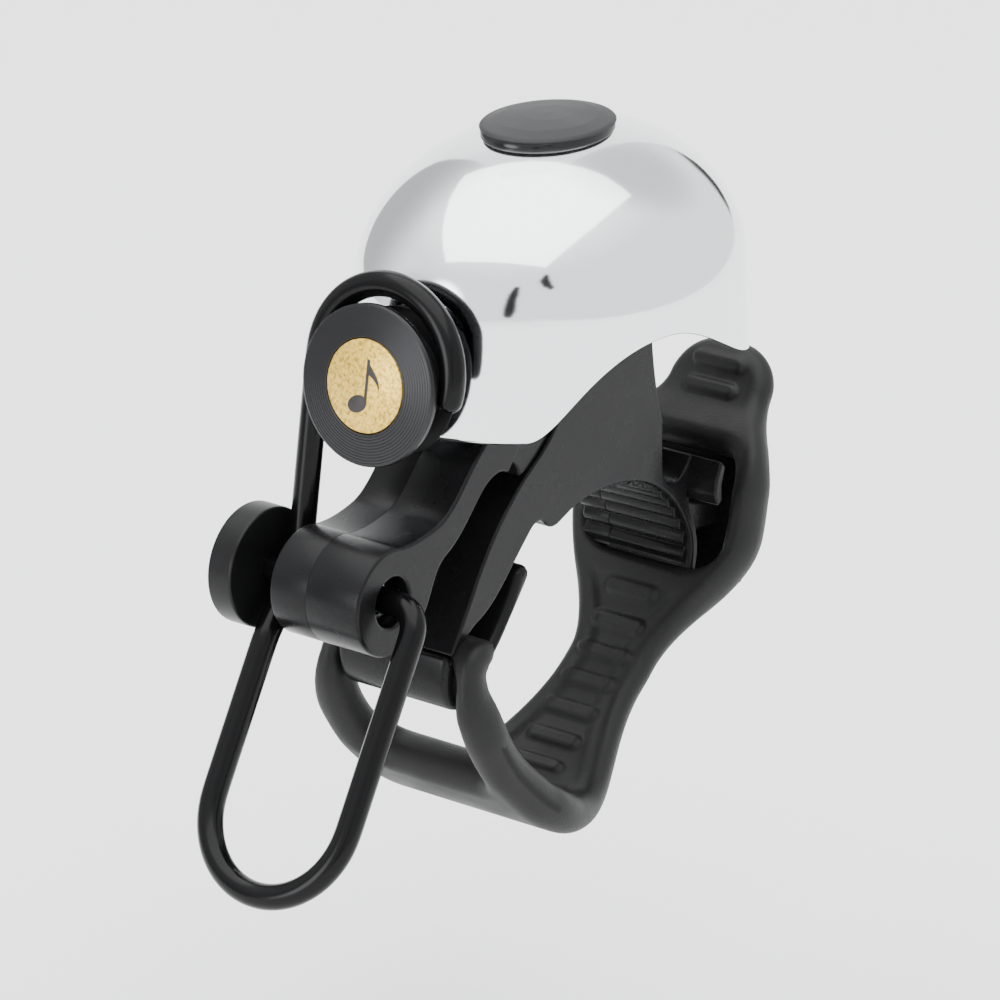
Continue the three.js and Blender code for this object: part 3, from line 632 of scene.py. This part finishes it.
hi, lo = LOOP["x"] + LOOP["half"], LOOP["x"] - LOOP["half"]
path = np.vstack([
    axle - 11.6 * X,
    bend(axle + (hi - 2.4) * X + 2.4 * down, X, down, 2.4, -np.pi / 2, 0, 12),
    bend(axle + LOOP["x"] * X + (LOOP["length"] - LOOP["half"]) * down, X, down, LOOP["half"], 0, np.pi),
    axle + lo * X + 6.5 * down,
    foot - (ARM["half"] - 0.1) * X + 2.0 * down + np.array([0, -0.9, 0]),
    foot - ARM["half"] * X + 2.0 * up,
    bend(foot + ARM["reach"] * up, X, up, ARM["half"], np.pi, -0.33)])
path = soften(path, 0.25, 0.7, closed=False)
left = np.cumsum(np.r_[0, np.linalg.norm(np.diff(path[::-1], axis=0), axis=1)])[::-1]
radius = WIRE * np.sqrt(np.clip(1 - np.clip(1 - left / (0.9 * WIRE), 0, 0.98) ** 2, 0.03, 1))
wire = tube(Piece("lever_wire_coated"), path, radius, np.array([0, -1.0, 0.15]), 24)
wire.make(wire_coat, "lever", "black_wire", ["lever_wire"])

# %% Round cap on the axle's free end
CAP_DISC = dict(radius=6.0, left=-12.6, right=-9.7)
profile = soften(np.array([[0.02, CAP_DISC["left"]], [CAP_DISC["radius"], CAP_DISC["left"]],
                           [CAP_DISC["radius"], CAP_DISC["right"]], [1.5, CAP_DISC["right"]],
                           [0.02, CAP_DISC["right"]]]), 0.08, 0.16, closed=False)
knob = turned(Piece("axle_end_cap"), profile,
              lambda u, v, h: np.stack([h, BARREL["y"] + u, BARREL["z"] + v], -1), 110)
knob.make(end_cap, "lever", "cap_plastic", ["axle_cap"])

# %% [markdown]
# ## The clapper
# The striking end wears a turned disc with a pale gold inlay. The turning leaves fine rings that
# break up the highlight, and the face falls a little towards its rim. On the inlay sits a plain musical note.

# %% Clapper pieces
CLAPPER = dict(radius=7.8, back=WIRE + 0.3, face=WIRE + 0.3 + 1.4, badge=4.5, hub=5.6, drop=1.4)
clapper_middle = foot + (ARM["reach"] - CLAPPER["drop"]) * up
forward = np.cross(X, up)


def on_clapper(u, v, h):
    """Across, up the arm and forwards, from the middle of the clapper."""
    return clapper_middle + u[..., None] * X + v[..., None] * up + h[..., None] * forward


satin, tree, shader = new_material("satin_black_turned_disc", Base_Color=srgb("#303031"), Metallic=0.85,
                                   Roughness=0.27, Specular_IOR_Level=0.2)
place = add_node(tree, "ShaderNodeTexCoord")
turn = add_node(tree, "ShaderNodeMapping", Vector=place.outputs["Object"])
turn.vector_type = "TEXTURE"
turn.inputs["Location"].default_value = (clapper_middle * MM).tolist()
turn.inputs["Rotation"].default_value = (math.pi / 2 - ARM_LEAN, 0, 0)
# A wave's rings lie 0.314 / Scale apart, so this is a tool mark every 0.28 mm, coarse enough to show.
rings = add_node(tree, "ShaderNodeTexWave",
                 {"wave_type": "RINGS", "rings_direction": "Z", "Scale": 1 / (0.9 * MM), "Distortion": 0.4,
                  "Detail": 2.0}, Vector=turn.outputs["Vector"])
bump = add_node(tree, "ShaderNodeBump", {"Strength": 0.3, "Distance": 0.03 * MM}, Height=rings.outputs["Fac"])
tree.links.new(bump.outputs["Normal"], shader.inputs["Normal"])

R, F, BADGE, HUB = CLAPPER["radius"], CLAPPER["face"], CLAPPER["badge"], CLAPPER["hub"]
profile = soften(np.array([[0.02, CLAPPER["back"]], [R - 0.15, CLAPPER["back"]], [R, CLAPPER["back"] + 0.2],
                           [R, F - 0.7], [R - 0.12, F - 0.64], [R - 0.12, F - 0.56], [R, F - 0.5],
                           [R - 0.05, F - 0.36], [R - 0.25, F - 0.28], [BADGE + 0.15, F],
                           [BADGE + 0.05, F - 0.2], [0.02, F - 0.2]]), 0.05, 0.04, closed=False)
disc = turned(Piece("clapper_face_disc"), profile, on_clapper, 160)
disc.make(satin, "lever", "black_disc", ["clapper_disc"])

foil, tree, shader = new_material("speckled_gold_inlay", Base_Color=srgb("#d8b768"), Metallic=0.6,
                                  Roughness=0.4)
place = add_node(tree, "ShaderNodeTexCoord")
speck = add_node(tree, "ShaderNodeTexNoise", {"Scale": 1 / (0.35 * MM), "Detail": 4.0, "Roughness": 0.7},
                 Vector=place.outputs["Object"])
tint = add_node(tree, "ShaderNodeValToRGB", Fac=speck.outputs["Fac"])
tint.color_ramp.elements[0].position, tint.color_ramp.elements[0].color = 0.36, srgb("#a07c26")
tint.color_ramp.elements[1].position, tint.color_ramp.elements[1].color = 0.56, srgb("#e2be55")
bump = add_node(tree, "ShaderNodeBump", {"Strength": 0.4, "Distance": 0.03 * MM}, Height=speck.outputs["Fac"])
tree.links.new(tint.outputs["Color"], shader.inputs["Base Color"])
tree.links.new(bump.outputs["Normal"], shader.inputs["Normal"])
profile = np.array([[0.02, F - 0.5], [BADGE, F - 0.5], [BADGE, F - 0.06], [BADGE - 0.05, F - 0.02],
                    [0.02, F - 0.02]])
turned(Piece("clapper_inlay"), profile, on_clapper, 120).make(foil, "lever", "badge_foil", ["clapper_badge"])

profile = soften(np.array([[0.02, -3.6], [1.8, -3.6], [2.8, -3.1], [3.4, -2.3], [R - 0.9, -2.3],
                           [R - 0.6, -2.0], [HUB, -1.38], [HUB, 1.28], [0.02, 1.28]]),
                 0.08, 0.08, closed=False)
striker = turned(Piece("clapper_striker"), profile, on_clapper, 96)
striker.make(hub_nylon, "lever", "black_nylon", ["clapper_hub"])

# %% The note: a tilted oval head, a stem and a flag, raised a hair above the inlay
print_ink, _, _ = new_material("dark_brown_print_ink", Base_Color=srgb("#120d0a"), Roughness=0.5)
head_angle = np.linspace(0, 2 * np.pi, 40, endpoint=False)
tilt = math.radians(24)
oval = np.stack([1.15 * np.cos(head_angle), 0.82 * np.sin(head_angle)], 1)
head = oval @ np.array([[math.cos(tilt), math.sin(tilt)], [-math.sin(tilt), math.cos(tilt)]]) + [-0.65, -1.85]
stem = np.array([[0.12, -1.7], [0.42, -1.6], [0.42, 2.6], [0.12, 2.6]])
flag = curve((0.2, 2.7), [(0.6, 1.5), (1.9, 1.3), (1.75, -0.3)], [(1.6, 0.7), (0.8, 0.9), (0.25, 1.3)])
note = Piece("inlay_note")
for number, shape in enumerate((head, soften(stem, 0.05, 0.04), soften(flag, 0.05, 0.04))):
    flat = Piece("flat")
    plate(flat, [shape], F - 0.2, F + 0.03 + 0.004 * number, 0.02, 3)
    q = np.vstack(flat.points)
    note.add(on_clapper(q[:, 1], q[:, 2], q[:, 0]), flat.faces)
note.make(print_ink, "lever", "black_disc")

# %% [markdown]
# ## The rubber strap
# The strap is one rubber moulding that springs round the bar. It is worked out as a sheet: one parameter
# runs along its middle line, the other across. Where rubber is, a distance to the nearest edge says how
# thick it is, so every rim rolls over in a quarter round; the two windows are holes in that distance.
# Raised bars stand on its inner side, where it grips the bar, and two more on the pull tab.

# %% Strap
STRAP_LINE = [[-22.3, 2.9], [-23.4, 4.5], [-25.0, 3.6], [-25.5, -0.4], [-24.1, -4.4], [-21.5, -8.6],
              [-17.2, -13.0], [-12.3, -16.1], [-8.6, -16.9], [-5.6, -16.2], [-2.4, -14.3], [1.1, -11.7],
              [6.6, -7.5], [11.2, -2.0], [13.4, 0.8], [15.2, 3.4], [16.3, 6.6], [16.7, 9.6], [17.8, 11.8],
              [20.0, 13.4], [22.6, 15.2], [24.8, 17.9], [26.2, 21.2]]
HOOK = (-25.3, 3.2)
FRONT_SHIFT, TAB_SHIFT = -1.4, 0.5
BAR_PITCH, BAR_HALF, BAR_HEIGHT = 3.6, 2.3, 0.5
line = soften(np.array(STRAP_LINE, float), 0.1, 1.2, closed=False)
travel = np.r_[0, np.cumsum(np.linalg.norm(np.diff(line, axis=0), axis=1))]
START = travel[np.argmin(np.hypot(line[:, 0] - HOOK[0], line[:, 1] - HOOK[1]))]
LENGTH = travel[-1] - START
heading = np.gradient(line, axis=0)
heading /= np.linalg.norm(heading, axis=1)[:, None]


def step(a, b, t):
    """Smooth step from 0 at a to 1 at b: 3 t squared minus 2 t cubed."""
    t = np.clip((t - a) / (b - a), 0, 1)
    return t * t * (3 - 2 * t)


def half_width(s):
    """Half the strap's width: a sum of smooth steps, wide at both windows and narrow at band and tab."""
    return (9.4 + 1.8 * step(0, 8, s) - 6.3 * step(20, 44, s) + 6.4 * step(46, 62, s) - 5.2 * step(66, 77, s))


def thickness(s):
    """A band of 3.3 mm plus smooth steps up to the thicker rails round the two windows."""
    return (3.3 + 1.2 * step(0, 5, s) * (1 - step(20, 30, s)) + 0.9 * step(50, 56, s) * (1 - step(69, 75, s)))


def window(s, x, s0, s1, half, corner):
    """Signed distance to a window with round corners, negative inside it."""
    qs = np.abs(s - (s0 + s1) / 2) - (s1 - s0) / 2 + corner
    qx = np.abs(x) - half + corner
    return np.hypot(np.maximum(qs, 0), np.maximum(qx, 0)) + np.minimum(np.maximum(qs, qx), 0) - corner


def rubber_depth(s, x):
    """Distance to the strap's nearest edge, positive in the rubber."""
    side = half_width(s) - np.abs(x)
    ends = np.minimum(LENGTH - s, s + START)
    corner = np.where(s > 40, 5.0, 2.0)
    rounded = corner - np.hypot(np.maximum(corner - side, 0), np.maximum(corner - ends, 0))
    outer = np.where(np.minimum(side, ends) > corner, np.minimum(side, ends), rounded)
    front = window(s, x, 3.2 - START, 14.0, 7.3, 2.4)
    rear = window(s, x, 57.2, 69.6, 7.9, 3.2)
    return np.minimum(outer, np.minimum(front, rear))


def bars(s, x):
    """Height of the raised bars: pills across the strap, a ramp high at their rims."""
    places = np.r_[31.5 + BAR_PITCH * np.arange(7), 76.0, 79.2]
    past_end = np.maximum(np.abs(x) - BAR_HALF, 0)[..., None]
    gap = 0.95 - np.min(np.hypot(past_end, s[..., None] - places), axis=-1)
    return BAR_HEIGHT * step(-0.15, 0.35, gap)


def slope(s, x, e=0.02):
    """The distance's gradient by central differences, and its length, kept off zero."""
    ds = (rubber_depth(s + e, x) - rubber_depth(s - e, x)) / (2 * e)
    dx = (rubber_depth(s, x + e) - rubber_depth(s, x - e)) / (2 * e)
    return ds, dx, np.maximum(np.hypot(ds, dx), 0.3)


pitch = 0.28
s, x = np.meshgrid(np.arange(-START - pitch, LENGTH + 2 * pitch, pitch),
                   np.arange(-12.6, 12.61, pitch), indexing="ij")
inside = rubber_depth(s, x) > 0
cell = inside[:-1, :-1] | inside[1:, :-1] | inside[:-1, 1:] | inside[1:, 1:]
used = np.zeros_like(inside)
for i, j in ((0, 0), (1, 0), (0, 1), (1, 1)):
    used[i:used.shape[0] - 1 + i, j:used.shape[1] - 1 + j] |= cell
rim = used & ~inside
for _ in range(8):
    depth = rubber_depth(s[rim], x[rim])
    ds, dx, size = slope(s[rim], x[rim])
    s[rim] -= depth * ds / size ** 2
    x[rim] -= depth * dx / size ** 2
depth = np.where(rim, 0, rubber_depth(s, x))
edge = 0.5 * thickness(s)
roll = np.minimum(edge, 1.05 + 0.75 * step(2, 9, s) + 0.5 * step(16, 24, s) - 0.85 * step(50, 56, s)
                  + 0.5 * step(71, 76, s))
turned_over = np.clip(depth / roll, 0, 1) * np.pi / 2
shift = np.where(inside & (depth < roll), depth - roll * (1 - np.cos(turned_over)), 0)
ds, dx, size = slope(s, x)
s, x = s - shift * ds / size, x - shift * dx / size
height = edge * np.sin(turned_over)
hollow = 0.35 * step(2.2, 3.6, depth) * step(24, 30, s) * (1 - step(52, 56, s))


def strap_points(s, x, out):
    """Middle line + out along its outer normal + x across, the hooked end sitting to one side."""
    at = s + START
    y, z = np.interp(at, travel, line[:, 0]), np.interp(at, travel, line[:, 1])
    hy, hz = np.interp(at, travel, heading[:, 0]), np.interp(at, travel, heading[:, 1])
    norm = np.hypot(hy, hz)
    aside = FRONT_SHIFT * (1 - step(8, 26, s)) + TAB_SHIFT * step(66, 72, s)
    return np.stack([x + aside, y + out * hz / norm, z - out * hy / norm], -1)


outer_side = strap_points(s, x, height)
inner_side = strap_points(s, x, -height + hollow - bars(s, x) * (turned_over > 1.3))
number = np.full(inside.shape, -1)
number[used] = np.arange(used.sum())
second = np.where(rim, number, number + used.sum())
quads = np.stack([number[:-1, :-1], number[1:, :-1], number[1:, 1:], number[:-1, 1:]], -1)[cell]
quads2 = np.stack([second[:-1, :-1], second[:-1, 1:], second[1:, 1:], second[1:, :-1]], -1)[cell]
keep = inside[used]
remap = np.cumsum(keep) - 1 + used.sum()
relabel = np.r_[np.arange(used.sum()), np.where(keep, remap, -1)]
points = np.vstack([outer_side[used], inner_side[used][keep]])
strap = outward(Piece("moulded_strap"), points, np.vstack([quads, relabel[quads2]]).tolist())
strap.make(rubber, "mount", "strap_rubber", ["rubber_strap"])
